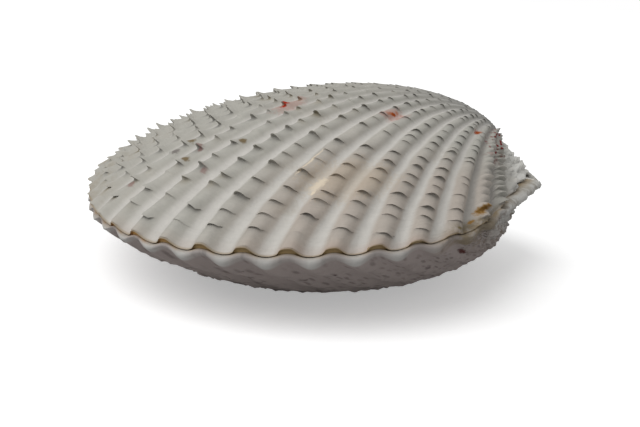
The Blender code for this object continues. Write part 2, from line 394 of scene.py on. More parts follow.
class Tree:
    """A node tree that is being built."""

    def __init__(self, tree):
        self.tree = tree

    def node(self, kind, **settings):
        """Adds one node."""
        made = self.tree.nodes.new(kind)
        for name, value in settings.items():
            setattr(made, name, value)
        return made

    def join(self, socket, value):
        """Links a field to a socket, or writes a plain value in it."""
        if isinstance(value, Field):
            self.tree.links.new(value.socket, socket)
        else:
            socket.default_value = value

    def from_node(self, kind, inputs, output=0, **settings):
        """Adds one node, fills its inputs, and returns one of its outputs."""
        made = self.node(kind, **settings)
        for name, value in inputs.items():
            self.join(made.inputs[name], value)
        return Field(self, made.outputs[output])

    def math(self, operation, *values):
        """One sum."""
        return self.from_node("ShaderNodeMath", dict(enumerate(values)), operation=operation)

    def vector(self, operation, *values):
        """One sum of vectors."""
        output = "Value" if operation == "LENGTH" else "Vector"
        return self.from_node("ShaderNodeVectorMath", dict(enumerate(values)), output, operation=operation)

    def scaled(self, vector, factor):
        """A vector times a number."""
        return self.from_node("ShaderNodeVectorMath", {0: vector, "Scale": factor}, operation="SCALE")

    def place(self, x, y, z):
        """A vector from its three numbers."""
        return self.from_node("ShaderNodeCombineXYZ", {0: x, 1: y, 2: z})

    def parts(self, vector):
        """A vector's three numbers."""
        made = self.node("ShaderNodeSeparateXYZ")
        self.join(made.inputs[0], vector)
        return [Field(self, output) for output in made.outputs]

    def clamped(self, value, low=0.0, high=1.0):
        """The value kept between two limits."""
        return self.math("MAXIMUM", self.math("MINIMUM", value, high), low)

    def eased(self, value, start, end):
        """0 before start, 1 past end, and a smooth rise between them."""
        inputs = {"Value": value, "From Min": start, "From Max": end}
        return self.from_node("ShaderNodeMapRange", inputs, "Result", interpolation_type="SMOOTHSTEP")

    def between(self, share, first, second):
        """first where share is 0 and second where it is 1."""
        return first + (second - first) * share

    def cell_random(self, *numbers):
        """A fixed random number from 0 to 1 for each set of whole numbers."""
        inputs = {"Vector": self.place(*numbers)}
        return self.from_node("ShaderNodeTexWhiteNoise", inputs, "Value", noise_dimensions="3D")

    def noise(self, place, scale, detail, roughness=0.5):
        """Smooth noise from 0 to 1."""
        inputs = {"Vector": place, "Scale": scale, "Detail": detail, "Roughness": roughness}
        return self.from_node("ShaderNodeTexNoise", inputs)


class GeometryTree(Tree):
    """A geometry node group with named inputs."""

    def __init__(self, name):
        super().__init__(bpy.data.node_groups.new(name, "GeometryNodeTree"))

    def asks_for(self, *numbers, **others):
        """Names the group's inputs, and returns them as fields in the same order."""
        kinds = {**dict.fromkeys(numbers, "NodeSocketFloat"), **others}
        for name, kind in kinds.items():
            self.tree.interface.new_socket(spoken(name), in_out="INPUT", socket_type=kind)
        sources = self.node("NodeGroupInput")
        return [Field(self, sources.outputs[spoken(name)]) for name in kinds]

    def gives(self, name, kind, value):
        """Names the group's output and joins a field to it."""
        self.tree.interface.new_socket(name, in_out="OUTPUT", socket_type=kind)
        self.join(self.node("NodeGroupOutput").inputs[name], value)

    def use(self, group, **values):
        """Adds another group, and returns its output."""
        inputs = {spoken(name): value for name, value in values.items()}
        return self.from_node("GeometryNodeGroup", inputs, node_tree=group)

    def choose(self, kind, condition, otherwise, chosen):
        """chosen where the condition is above zero, otherwise elsewhere."""
        inputs = {"Switch": condition, "False": otherwise, "True": chosen}
        return self.from_node("GeometryNodeSwitch", inputs, input_type=kind)

    def pick(self, index, values):
        """The value at this place in a short list."""
        made = self.node("GeometryNodeIndexSwitch", data_type="FLOAT")
        while len(made.index_switch_items) < len(values):
            made.index_switch_items.new()
        self.join(made.inputs["Index"], index)
        for number, value in enumerate(values):
            self.join(made.inputs[str(number)], value)
        return Field(self, made.outputs[0])

    def store(self, mesh, name, value, kind="FLOAT", domain="POINT"):
        """Keeps a field on the mesh as a named attribute."""
        inputs = {"Geometry": mesh, "Name": name, "Value": value}
        return self.from_node("GeometryNodeStoreNamedAttribute", inputs, data_type=kind, domain=domain)

    def own_place(self):
        """The place of each vertex, as its three numbers."""
        return self.parts(self.from_node("GeometryNodeInputPosition", {}))

    def moved(self, mesh, place):
        """A mesh with its vertices moved to other places."""
        return self.from_node("GeometryNodeSetPosition", {"Geometry": mesh, "Position": place})

    def laid_down(self, mesh):
        """A mesh turned and moved from the growth frame to how the shell lies."""
        turn = Matrix.Rotation(REST_PITCH, 3, "Y") @ Matrix.Rotation(pi, 3, "Z")
        inputs = {"Geometry": mesh, "Translation": REST_PLACE, "Rotation": turn.to_euler()}
        return self.from_node("GeometryNodeTransform", inputs)

    def ends_with(self, mesh, material):
        """The end of a tree that makes a piece."""
        realised = self.from_node("GeometryNodeRealizeInstances", {"Geometry": mesh})
        inputs = {"Geometry": realised, "Material": material}
        self.gives("Geometry", "NodeSocketGeometry", self.from_node("GeometryNodeSetMaterial", inputs))


def spoken(name):
    """A socket's label from a Python name: rib_count becomes Rib Count."""
    return name.replace("_", " ").title()


# The shape of a valve.


def margin_group():
    """The node group for a place on the margin, from its rib count, or from its share of the hinge line."""
    tree = GeometryTree("margin place")
    count, share, hinge_end = tree.asks_for("rib_count", "hinge_share", "hinge_end")
    inside = tree.clamped(count, FAR_EAR_COUNT, NEAR_EAR_COUNT)
    angle = inside * RIB_ANGLE + (count - inside) * EAR_RIB_ANGLE + RIB_ZERO
    angle = tree.clamped(angle, -pi / 2, pi / 2)
    along = tree.math("COSINE", angle)
    across = tree.math("SINE", angle)
    square = along * along / BODY_HALF_LENGTH**2 + across * across / BODY_HALF_WIDTH**2
    towards = along * (BODY_CENTRE_X / BODY_HALF_LENGTH**2)
    towards = towards + across * (BODY_CENTRE_Y / BODY_HALF_WIDTH**2)
    outside = (BODY_CENTRE_X / BODY_HALF_LENGTH) ** 2 + (BODY_CENTRE_Y / BODY_HALF_WIDTH) ** 2 - 1.0
    root = tree.math("SQRT", tree.math("MAXIMUM", towards * towards - square * outside, 0.0))
    from_blunt = (angle - BLUNT_MIDDLE) / BLUNT_WIDTH
    blunt = tree.math("EXPONENT", -(from_blunt * from_blunt)) * BLUNT_SHARE
    body_reach = (towards + root) / square * (1.0 - blunt)
    near_slope = (NEAR_SHOULDER_Y - hinge_end) / SHOULDER_X
    blunt_tip = tree.eased(count, NEAR_END_COUNT - ROUNDED_TIP_RIBS, NEAR_END_COUNT) * (1.0 - ROUNDED_TIP)
    near_reach = hinge_end / (across - near_slope * along) * (1.0 - blunt_tip)
    far_slope = (FAR_SHOULDER_Y - FAR_HINGE_END) / SHOULDER_X
    far_reach = FAR_HINGE_END / (-across - far_slope * along)
    reach = tree.choose("FLOAT", tree.math("LESS_THAN", angle, -FAR_SHOULDER), body_reach, far_reach)
    reach = tree.choose("FLOAT", tree.math("GREATER_THAN", angle, NEAR_SHOULDER), reach, near_reach)
    edge = tree.place(reach * along, reach * across, 0.0)
    hinge_y = hinge_end * ROUNDED_TIP - share * (hinge_end * ROUNDED_TIP + FAR_HINGE_END)
    hinge = tree.place(0.0, hinge_y, 0.0)
    place = tree.choose("VECTOR", tree.math("GREATER_THAN", share, 0.0), edge, hinge)
    tree.gives("Place", "NodeSocketVector", place)
    return tree.tree


def horn_group():
    """The node group for where a place of the margin lay when the shell was this share of its full size."""
    tree = GeometryTree("horn point")
    stage, upper, place = tree.asks_for("stage", "upper", place="NodeSocketVector")
    x, y, _ = tree.parts(place)
    stage = tree.math("MAXIMUM", stage, LEAST_STAGE)
    grown = -tree.math("LOGARITHM", stage, e) / GROWTH_PER_TURN
    mouth_turn = tree.between(upper, LOWER_MOUTH_TURN, UPPER_MOUTH_TURN)
    mouth_power = tree.between(upper, LOWER_MOUTH_POWER, UPPER_MOUTH_POWER)
    turn = grown / (grown * STRAIGHTENING + 1.0)
    turn = turn + mouth_turn * (1.0 - tree.math("POWER", stage, mouth_power))
    cosine = tree.math("COSINE", turn)
    sine = tree.math("SINE", turn)
    along = stage * (x * cosine + sine * BEAK_HEIGHT)
    up = stage * (x * sine - cosine * BEAK_HEIGHT) + BEAK_HEIGHT
    wide = tree.math("POWER", stage, tree.between(upper, LOWER_WIDTH_POWER, UPPER_WIDTH_POWER))
    high = up * tree.between(upper, LOWER_FLATNESS, 1.0)
    tree.gives("Point", "NodeSocketVector", tree.place(along, wide * y, high))
    return tree.tree


def loft_place(tree):
    """A plain tube, and of each vertex its ring, its column and whether it closes an end."""
    sizes = {"Vertices": COLUMNS, "Side Segments": RINGS, "Radius": 1.0, "Depth": RINGS}
    tube = tree.from_node("GeometryNodeMeshCylinder", sizes, "Mesh", fill_type="TRIANGLE_FAN")
    x, y, z = tree.own_place()
    turn = tree.math("ARCTAN2", y, x) / (2.0 * pi)
    column = tree.math("FRACT", turn + 1.0 + COLUMN_NUDGE / COLUMNS) * COLUMNS
    column = tree.math("ROUND", column - COLUMN_NUDGE)
    ring = tree.math("ROUND", z + RINGS / 2)
    ends = tree.math("LESS_THAN", x * x + y * y, 0.25)
    return tube, ring, column, ends


def rib_count_of(tree, column, shift):
    """Rib count and hinge share of a column: far ear, body, near ear, then back along the hinge line."""
    far = tree.clamped(column / FAR_COLUMNS)
    body = tree.clamped((column - FAR_COLUMNS) / BODY_COLUMNS)
    near = tree.clamped((column - FAR_COLUMNS - BODY_COLUMNS) / NEAR_COLUMNS)
    count = far * (FAR_EAR_COUNT - FAR_END_COUNT) + FAR_END_COUNT
    count = count + body * (NEAR_EAR_COUNT - FAR_EAR_COUNT)
    crowding = tree.math("SINE", (count - shift) * (2.0 * pi)) * (CREST_CROWDING / (2.0 * pi))
    within = tree.math("LESS_THAN", tree.math("ABSOLUTE", body - 0.5), WITHIN_BODY)
    count = count - crowding * within
    count = count + near * (NEAR_END_COUNT - NEAR_EAR_COUNT)
    share = tree.clamped((column - OUTER_COLUMNS) / HINGE_COLUMNS)
    return count, share


class ValveTree(GeometryTree):
    """The node group for a whole valve: outside, rim and inside, as one closed skin."""

    def __init__(self, margin, horn):
        super().__init__("valve")
        self.margin = margin
        self.horn = horn
        names = ("upper", "hinge_end", "rib_shift", "seed", "rib_height", "scale_height", "hood_width")
        inputs = self.asks_for(*names, shell_material="NodeSocketMaterial")
        self.upper, self.hinge_end, self.shift, self.seed = inputs[:4]
        self.rib_height, self.scale_height, self.hood_width, self.material = inputs[4:]
        self.side = self.upper * 2.0 - 1.0
        self.mesh, self.ring, column, self.ends = loft_place(self)
        self.count, self.share = rib_count_of(self, column, self.shift)
        self.endward = -self.count
        self.on_hinge = self.math("GREATER_THAN", self.share, 0.0)
        self.off_hinge = 1.0 - self.on_hinge
        self.count_rows()
        self.shape_rows()
        self.shape_horn()
        self.carve_ribs()
        self.raise_scales()
        self.string_beads()
        self.raise_relief()
        self.meet_other_valve()
        self.shape_rim()
        final = self.put_together()
        self.keep_for_finish()
        self.finish(final)

    def only(self, share, factor):
        """The factor where share is 1, and 1 where it is 0."""
        return self.between(share, 1.0, factor)

    def wave_of(self, turns):
        """The cosine of a number of turns."""
        return self.math("COSINE", turns * (2.0 * pi))

    def count_rows(self):
        """Which rib and which row of scales this is, and how far between them."""
        self.ear = self.eased(self.count, *NEAR_EAR) + self.eased(self.endward, *FAR_EAR_ENDWARD)
        shifted = self.count - self.shift
        self.rib = self.math("ROUND", shifted)
        self.offset = shifted - self.rib
        self.neighbour = self.rib + self.math("SIGN", self.offset)
        self.blend = self.eased(self.math("ABSOLUTE", self.offset), *WANDER_BLEND) * 0.5
        outer_ring = self.math("MINIMUM", self.ring, OUTER_RINGS)
        self.row = self.math("FLOOR", outer_ring / RINGS_PER_ROW + HAIR)
        self.step = self.math("ROUND", outer_ring - self.row * RINGS_PER_ROW)
        self.ventral = self.eased(self.endward, *VENTRAL_ENDWARD)

    def row_start(self, row, wandering):
        """Where a row of scales starts on this rib, in rows: it wanders, and blends across the grooves."""
        taper = self.clamped(ROWS - row) * self.clamped(row)
        own = self.cell_random(self.rib, row, self.seed)
        next_one = self.cell_random(self.neighbour, row, self.seed)
        wander = self.between(self.blend, own, next_one) - 0.5
        return row + wander * taper * wandering * (2.0 * ROW_WANDER)

    def hood_at(self, row, width, even):
        """How strongly a scale stands here: 1 on the middle of a whole one, 0 in a groove or if it broke."""
        lean = (self.cell_random(self.rib, row, self.seed + LEAN_DRAW) - 0.5) * HOOD_LEAN
        own_width = self.cell_random(self.rib, row, self.seed + WIDTH_DRAW)
        out = (self.offset - lean) / (self.between(own_width, *HOOD_WIDTHS) * width)
        arch = self.math("SQRT", self.math("MAXIMUM", 1.0 - out * out, 0.0))
        own_size = self.cell_random(self.rib, row, self.seed + SIZE_DRAW)
        every_other = 1.0 - self.math("FLOORED_MODULO", self.rib + row, 2.0) * LOW_BETWEEN
        even_size = self.between(own_size, *EVEN_HOOD_SIZES) * every_other
        size = self.between(even, self.between(own_size, *HOOD_SIZES), even_size)
        broken = self.cell_random(self.rib, row, self.seed + BREAK_DRAW)
        whole = self.math("MAXIMUM", self.eased(broken, *BROKEN_HOODS), even)
        on_last = self.math("GREATER_THAN", row, ROWS - 1.5)
        last = self.only(on_last, self.between(even, *LAST_HOODS))
        first = self.between(self.eased(row, *FIRST_HOOD_ROWS), FIRST_HOODS, 1.0)
        return arch * size * whole * last * first * self.off_hinge

    def shape_rows(self):
        """The hoods of this row and the one before, and how far along the rows each ring lies."""
        even = self.ventral * self.upper
        width = self.hood_width * self.only(self.eased(self.endward, *SLIM_ENDWARD) * self.upper, SLIM_SCALES)
        self.hood = self.hood_at(self.row, width, even)
        self.last_hood = self.hood_at(self.row - 1.0, width, even)
        self.beaded = self.eased(self.count, *NEAR_BEADS) + self.eased(self.endward, *FAR_BEADS_ENDWARD)
        flat = self.pick(self.step, FLAT_ALONG)
        folded = self.pick(self.step, HOOD_ALONG)
        along = self.between(self.clamped(self.hood * FOLD_SOON) * (1.0 - self.beaded), flat, folded)
        wandering = self.only(self.eased(self.endward, *STEADY_ENDWARD) * self.upper, VENTRAL_WANDER)
        start = self.row_start(self.row, wandering)
        end = self.row_start(self.row + 1.0, wandering)
        self.grown = self.clamped(self.between(along, start, end) / ROWS)

    def margin_place(self, ribs_on=0.0, share_on=0.0):
        """The place on the margin of this column, or a little further on."""
        return self.use(
            self.margin,
            rib_count=self.count + ribs_on,
            hinge_share=self.share + self.on_hinge * share_on,
            hinge_end=self.hinge_end,
        )

    def horn_point(self, place, stage):
        """Where a place of the margin lay at this growth stage."""
        return self.use(self.horn, place=place, stage=stage, upper=self.upper)

    def squared_stage(self):
        """The growth stage of a ring of the outside, skewed so that hoods stand square to their rib."""
        stage = self.math("POWER", self.grown, ROW_CROWDING) * (1.0 - FIRST_STAGE) + FIRST_STAGE
        nearer = self.vector("LENGTH", self.margin_place(SLANT_REACH))
        farther = self.vector("LENGTH", self.margin_place(-SLANT_REACH))
        per_rib = 1.0 / (2.0 * SLANT_REACH)
        slant = self.math("LOGARITHM", nearer / farther, e) * per_rib * (1.0 - self.ear) * self.off_hinge
        skew = slant * self.math("SINE", self.offset * (2.0 * pi)) * (-SQUARENESS / (2.0 * pi))
        return stage * (1.0 + skew * self.eased(1.0 - self.grown, 0.0, SQUARE_FADE))

    def shape_horn(self):
        """The smooth horn: the stage and place of each ring, and the ways outward and forward from it."""
        inner = self.math("MAXIMUM", self.ring - OUTER_RINGS - RIM_RINGS, 0.0)
        self.inner_share = self.clamped((inner - 1.0) / (INNER_RINGS - 1))
        inner_stage = self.between(self.inner_share, INNER_FIRST, INNER_LAST)
        self.inside = self.math("GREATER_THAN", inner, 0.5)
        self.outside = 1.0 - self.inside
        self.stage = self.between(self.inside, self.squared_stage(), inner_stage)
        place = self.margin_place()
        self.point = self.horn_point(place, self.stage)
        one_side = self.horn_point(self.margin_place(RIB_STEP, SHARE_STEP), self.stage)
        other_side = self.horn_point(self.margin_place(-RIB_STEP, -SHARE_STEP), self.stage)
        self.forward = self.vector("SUBTRACT", one_side, other_side)
        later = self.horn_point(place, self.stage * (1.0 + STAGE_STEP))
        earlier = self.horn_point(place, self.stage * (1.0 - STAGE_STEP))
        growing = self.vector("SUBTRACT", later, earlier)
        self.outward = self.vector("NORMALIZE", self.vector("CROSS_PRODUCT", growing, self.forward))
        self.size = self.math("POWER", self.vector("LENGTH", place) / RIB_REACH, REACH_POWER)
        self.at_margin = self.eased(self.stage, MARGIN_BLEND, 1.0)
        from_far_end = self.eased(self.count, *FAR_END)
        self.hinge_fade = from_far_end * (1.0 - self.eased(self.count, *NEAR_END)) * self.off_hinge

    def carve_ribs(self):
        """The ribs, with rounded crests, narrower grooves and a slight wobble."""
        wobble = (self.noise(self.point, WOBBLE_SCALE, 2.0) - 0.5) * RIB_WOBBLE
        wobble = wobble * (1.0 - self.at_margin) * self.off_hinge
        groove = (1.0 - self.wave_of(self.offset + wobble)) * 0.5
        narrow = self.between(self.at_margin, NARROW_GROOVES, 1.0)
        self.crest = 1.0 - self.math("POWER", groove, narrow) * 2.0
        self.crest_share = self.crest * 0.5 + 0.5
        ear_ribs = self.between(self.upper, LOWER_EAR_RIB_HEIGHT, UPPER_EAR_RIB_HEIGHT)
        tall = self.only(self.eased(self.count, *TALL_RIBS_FROM) * self.upper, TALL_RIBS)
        height = self.between(self.ear, self.rib_height * self.size * tall, ear_ribs)
        self.ribs = self.crest * self.math("POWER", self.stage, RIB_GROWTH_POWER) * height

    def raise_scales(self):
        """The scales, as worn as they are from place to place, and the low nodes between them."""
        upper, stage = self.upper, self.stage
        self.near = self.eased(self.count, *NEAR_SCALES_FROM) * upper
        old = 1.0 - self.eased(stage, *FAR_OLD_STAGES)
        self.far_old = self.eased(self.endward, *FAR_OLD_ENDWARD) * old * upper
        worn = self.only(self.eased(self.count, *WORN_FROM) * upper, WORN_SCALES)
        worn = worn * self.only(self.ventral * (1.0 - upper), LOWER_END_SCALES)
        worn = worn * self.only(self.near, NEAR_SCALES) * self.only(self.far_old, FAR_OLD_SCALES)
        worn = worn * self.only(self.ventral * self.eased(stage, *TALL_STAGES) * upper, TALL_SCALES)
        worn = worn * self.between(self.eased(stage, *OLD_STAGES), OLD_SCALES, 1.0)
        lift = self.pick(self.step, HOOD_HEIGHT) * self.hood * self.outside
        height = lift * self.size * self.math("SQRT", stage) * self.scale_height
        self.scales = height * self.between(self.ear, worn, EAR_SCALES)
        nodes = self.pick(self.step, NODE_SHAPE) * self.crest_share
        nodes = nodes * self.eased(self.endward, *NODES_ENDWARD) * NODE_HEIGHT
        self.nodes = nodes * self.size * upper * self.eased(stage, *NODE_STAGES) * (1.0 - self.beaded)

    def string_beads(self):
        """Beads along the ribs beside the ears and along the ears' riblets."""
        beads = self.grown * ROWS * self.between(self.ear, BEADS_PER_ROW, EAR_BEADS_PER_ROW)
        beads = beads + self.cell_random(self.rib, 0.0, self.seed + BEAD_START_DRAW)
        own_size = self.cell_random(self.rib, self.math("FLOOR", beads), self.seed + BEAD_SIZE_DRAW)
        roundness = self.between(self.ear, BEAD_ROUNDNESS, EAR_BEAD_ROUNDNESS)
        bead = self.math("POWER", (1.0 - self.wave_of(beads)) * 0.5, roundness)
        self.bead = bead * self.between(own_size, *BEAD_SIZES) * self.crest_share
        height = self.between(self.ear, BEAD_HEIGHT, EAR_BEAD_HEIGHT)
        fade = self.eased(1.0 - self.stage, 0.0, BEAD_FADE)
        self.beads = self.bead * self.math("SQRT", self.stage) * height * fade * self.upper

    def lumps(self, scale, sparseness):
        """Scattered round lumps."""
        return self.math("MAXIMUM", self.noise(self.point, scale, 1.0) - sparseness, 0.0)

    def knobs(self):
        """The lower valve's low knobs."""
        at_end = self.eased(self.endward, *END_KNOBS_ENDWARD)
        height = self.lumps(KNOB_SCALE, KNOB_SPARSENESS) * KNOB_HEIGHT * (1.0 - self.upper)
        height = height * self.only(self.eased(self.count, *EAR_KNOBS_FROM), EAR_KNOBS)
        height = height * self.only(at_end, END_KNOBS)
        end_fade = 1.0 - self.eased(self.stage, *END_KNOB_STAGES)
        return height * self.between(at_end, 1.0 - self.at_margin, end_fade)

    def crust(self):
        """The crust at the near corner."""
        last = self.between(self.upper, LOWER_CRUST_LAST, UPPER_CRUST_LAST)
        start = self.between(self.upper, LOWER_CRUST_STAGE, UPPER_CRUST_STAGE)
        there = self.eased(self.count, *CRUST_FROM) * (1.0 - self.eased(self.count, last, CRUST_END))
        there = there * self.eased(self.stage, start, start + CRUST_STAGE_FADE)
        return self.lumps(CRUST_SCALE, CRUST_SPARSENESS) * there * CRUST_HEIGHT

    def raise_relief(self):
        """The height of everything that stands on the smooth horn."""
        fine = self.noise(self.point, FINE_ROUGH_SCALE, 3.0) - 0.5
        coarse = self.noise(self.point, COARSE_ROUGH_SCALE, 2.0) - 0.5
        rough = (fine + coarse * COARSE_ROUGH_SHARE) * ROUGH_HEIGHT * (1.0 - self.at_margin)
        rows = self.between(self.beaded, self.scales, self.beads)
        relief = (self.ribs + self.nodes + rows) * self.hinge_fade
        self.relief = (relief + rough + self.knobs() + self.crust()) * self.outside

    def meet_other_valve(self):
        """How far from the plane of the margin the valves meet, and how much further the outer edge lies."""
        wave = self.wave_of(self.count) * self.hinge_fade * (1.0 - self.ear)
        ear_tip = self.eased(self.count, *NEAR_TIP) * self.off_hinge
        past_ear = self.eased(self.count, *PAST_NEAR_EAR) * self.off_hinge
        meeting = wave * self.side * MEETING_WAVE + HALF_GAP
        self.meeting = meeting + past_ear * EAR_LIFT + ear_tip * EAR_TIP_GAPE
        self.wave = wave
        low = self.eased(self.endward, *LOW_ENDWARD)
        turn = self.count * (2.0 * pi)
        leaning = self.math("COSINE", turn + self.math("COSINE", turn) * ARCH_LEAN)
        arch = self.eased(leaning, *ARCH_OPENING) * ARCH_HEIGHT * self.only(low, LOW_ARCHES)
        arch = arch * self.only(self.eased(self.count, *FILLED_FROM), FILLED_ARCHES)
        arch = (arch + UPPER_EDGE) * self.hinge_fade * (1.0 - self.ear) * self.size
        lip = (LIP_HEIGHT - wave * LIP_WAVE) * self.size * self.hinge_fade * self.only(low, THIN_LIP)
        from_far_tip = self.eased(self.share, *LAST_HINGE_SHARES)
        on_tip = 1.0 - self.eased(self.share, *FIRST_HINGE_SHARES) + from_far_tip
        lip = self.between(self.ear, lip, on_tip * (1.0 + ear_tip * EAR_TIP_LIP) * EAR_LIP)
        self.edge = self.meeting + self.between(self.upper, lip, arch)

    def on_rim(self, upper, lower, ear, past):
        """What the lower and the upper rim take at this ring, with the lower ears' own values blended in."""
        lower_value = self.pick(self.rim, (0.0, *lower, past))
        lower_value = self.between(self.ear, lower_value, self.pick(self.rim, (0.0, *ear, past)))
        return lower_value, self.pick(self.rim, (0.0, *upper, past))

    def shape_rim(self):
        """How far in from the outline the rim lies, and how far it drops to where the valves meet."""
        self.rim = self.clamped(self.ring - OUTER_RINGS, 0.0, RIM_RINGS + 1.0)
        insets = self.on_rim(UPPER_RIM_INSET, LOWER_RIM_INSET, EAR_RIM_INSET, 0.0)
        drops = self.on_rim(UPPER_RIM_DROP, LOWER_RIM_DROP, EAR_RIM_DROP, 1.0)
        self.inset = self.between(self.upper, *insets)
        there = self.math("GREATER_THAN", self.rim, 0.5)
        self.drop = there * self.between(self.upper, *drops) * self.outside

    def put_together(self):
        """The place of each vertex, on the outside, the rim, the inside or one of the two closed ends."""
        level = self.vector("NORMALIZE", self.vector("MULTIPLY", self.forward, (1.0, 1.0, 0.0)))
        forward_x, forward_y, _ = self.parts(level)
        inward = self.place(-forward_y, forward_x, 0.0)
        outward_z = self.parts(self.outward)[2]
        to_edge = self.at_margin * (self.edge - outward_z * self.relief)
        outer = self.vector("ADD", self.point, self.scaled(self.outward, self.relief))
        outer = self.vector("ADD", outer, self.place(0.0, 0.0, to_edge))
        outer = self.vector("ADD", outer, self.scaled(inward, self.inset))
        x, y, z = self.parts(outer)
        z = self.between(self.drop, z, self.meeting)
        wall = self.between(self.clamped(self.inner_share * WALL_GROWTH), RIM_WALL, DEEP_WALL)
        inner = self.vector("ADD", self.point, self.place(0.0, 0.0, self.at_margin * self.edge))
        inner = self.vector("SUBTRACT", inner, self.scaled(self.outward, wall))
        inner_x, inner_y, inner_z = self.parts(inner)
        x = self.between(self.inside, x, inner_x)
        y = self.between(self.inside, y, inner_y)
        z = self.between(self.inside, z, self.math("MAXIMUM", inner_z, self.meeting))
        beak = self.horn_point((0.0, 0.0, 0.0), 0.0)
        floor = self.horn_point((INNER_FLOOR_X, BODY_CENTRE_Y, 0.0), INNER_LAST)
        end = self.choose("VECTOR", self.math("GREATER_THAN", self.ring, 1.0), beak, floor)
        final = self.choose("VECTOR", self.ends, self.place(x, y, z), end)
        return self.vector("MULTIPLY", final, self.place(1.0, 1.0, self.side))

    def keep_for_finish(self):
        """Keeps what the finish needs to know, before the vertices move."""
        # Painted shade: grey in the hollows under and just ahead of each hood's lip, and between beads.
        on_lip = self.math("LESS_THAN", self.step, 0.5) * (SHADE_AHEAD - SHADE_BEYOND)
        ahead = on_lip + self.math("LESS_THAN", self.step, 1.5) * SHADE_BEYOND
        painted_shade = self.math("GREATER_THAN", self.step, HOLLOW_FROM) * self.hood + ahead * self.last_hood
        painted_shade = painted_shade * self.only(self.near, NEAR_SHADE) * self.only(self.far_old, FAR_OLD_SHADE)
        shade_between_beads = (1.0 - self.bead) * self.crest * BEAD_SHADE * self.upper
        painted_shade = self.between(self.beaded, painted_shade, shade_between_beads) * self.outside
        lower_brown, upper_brown = self.on_rim(UPPER_RIM_BROWN, LOWER_RIM_BROWN, EAR_RIM_BROWN, 0.0)
        # Under the arches the lower rim's brown is partly stain, partly painted shade.
        arch_stain_and_shade = self.between(self.eased(self.wave, *BROWN_WAVE), LEAST_BROWN, 1.0)
        lower_brown = lower_brown * self.between(self.ear, arch_stain_and_shade, 1.0)
        kept = {
            "rib_count": self.count,
            "growth": self.stage,
            "crest": self.crest_share,
            "painted_shade": painted_shade,
            "rim": self.between(self.upper, lower_brown, upper_brown),
            "lower": 1.0 - self.upper,
            "inside": self.inside,
        }
        for name, value in kept.items():
            self.mesh = self.store(self.mesh, name, value)

    def finish(self, final):
        """Moves the vertices, turns the faces out, keeps lips crisp and lays the valve down."""
        flipping = self.math("GREATER_THAN", self.upper, 0.5)
        inputs = {"Mesh": self.moved(self.mesh, final), "Selection": flipping}
        mesh = self.from_node("GeometryNodeFlipFaces", inputs)
        fold = self.from_node("GeometryNodeInputMeshEdgeAngle", {}, "Unsigned Angle")
        sharp = self.math("GREATER_THAN", fold, SHARP_FOLD)
        laid = self.laid_down(self.store(mesh, "sharp_edge", sharp, "BOOLEAN", "EDGE"))
        x, y, z = self.own_place()
        worn = self.moved(laid, self.place(x, y, self.math("MAXIMUM", z, WORN_LEVEL)))
        self.ends_with(worn, self.material)


def ligament_group():
    """The node group for the ligament: a thin pad of split layers over the hinge line."""
    tree = GeometryTree("ligament")
    names = ("half_width", "half_height", "thickness", "gap")
    width, height, thick, gap, material = tree.asks_for(*names, ligament_material="NodeSocketMaterial")
    sizes = {"Segments": LIGAMENT_SIDES, "Rings": LIGAMENT_RINGS, "Radius": 1.0}
    ball = tree.from_node("GeometryNodeMeshUVSphere", sizes, "Mesh")
    x, y, z = tree.own_place()
    drift = tree.noise(tree.place(0.0, y, z), *LIGAMENT_DRIFT_NOISE) * LIGAMENT_DRIFT
    layers = tree.math("COSINE", z * LIGAMENT_LAYERS + drift)
    split_place = tree.place(x, y * LIGAMENT_SPLIT_STRETCH, z)
    split = tree.eased(tree.noise(split_place, *LIGAMENT_SPLIT_NOISE), *LIGAMENT_SPLITS)
    swell = 1.0 - (layers * 0.5 + 0.5) * LIGAMENT_STEP - split * LIGAMENT_SPLIT
    fray_place = tree.place(0.0, tree.math("SIGN", y), z)
    frayed = 1.0 - tree.noise(fray_place, *LIGAMENT_FRAY_NOISE) * LIGAMENT_FRAY
    across = x * swell * thick * 0.5 - gap - thick * 0.5
    pinched = 1.0 - y * y * LIGAMENT_PINCH
    final = tree.place(across, y * frayed * width, z * pinched * height)
    tree.ends_with(tree.laid_down(tree.moved(ball, final)), material)
    return tree.tree


def grow(name, group, **settings):
    """Runs a node group on an empty mesh, and keeps its result as a plain object."""
    settings = {spoken(setting): value for setting, value in settings.items()}
    seedling = bpy.data.objects.new(name + "_growing", bpy.data.meshes.new(name + "_growing"))
    bpy.context.scene.collection.objects.link(seedling)
    modifier = seedling.modifiers.new("growth", "NODES")
    modifier.node_group = group
    for item in group.interface.items_tree:
        if item.in_out == "INPUT" and item.name in settings:
            modifier[item.identifier] = settings[item.name]
    graph = bpy.context.evaluated_depsgraph_get()
    graph.update()
    mesh = bpy.data.meshes.new_from_object(seedling.evaluated_get(graph))
    bpy.data.objects.remove(seedling)
    mesh.name = name
    mesh.shade_smooth()
    piece = bpy.data.objects.new(name, mesh)
    bpy.context.scene.collection.objects.link(piece)
    return piece


# Finishes.


def paint(red, green, blue):
    """A linear colour from the numbers on a paint chart, 0 to 255."""
    parts = [part / 255.0 for part in (red, green, blue)]
    linear = [part / 12.92 if part <= 0.04045 else ((part + 0.055) / 1.055) ** 2.4 for part in parts]
    return (*linear, 1.0)


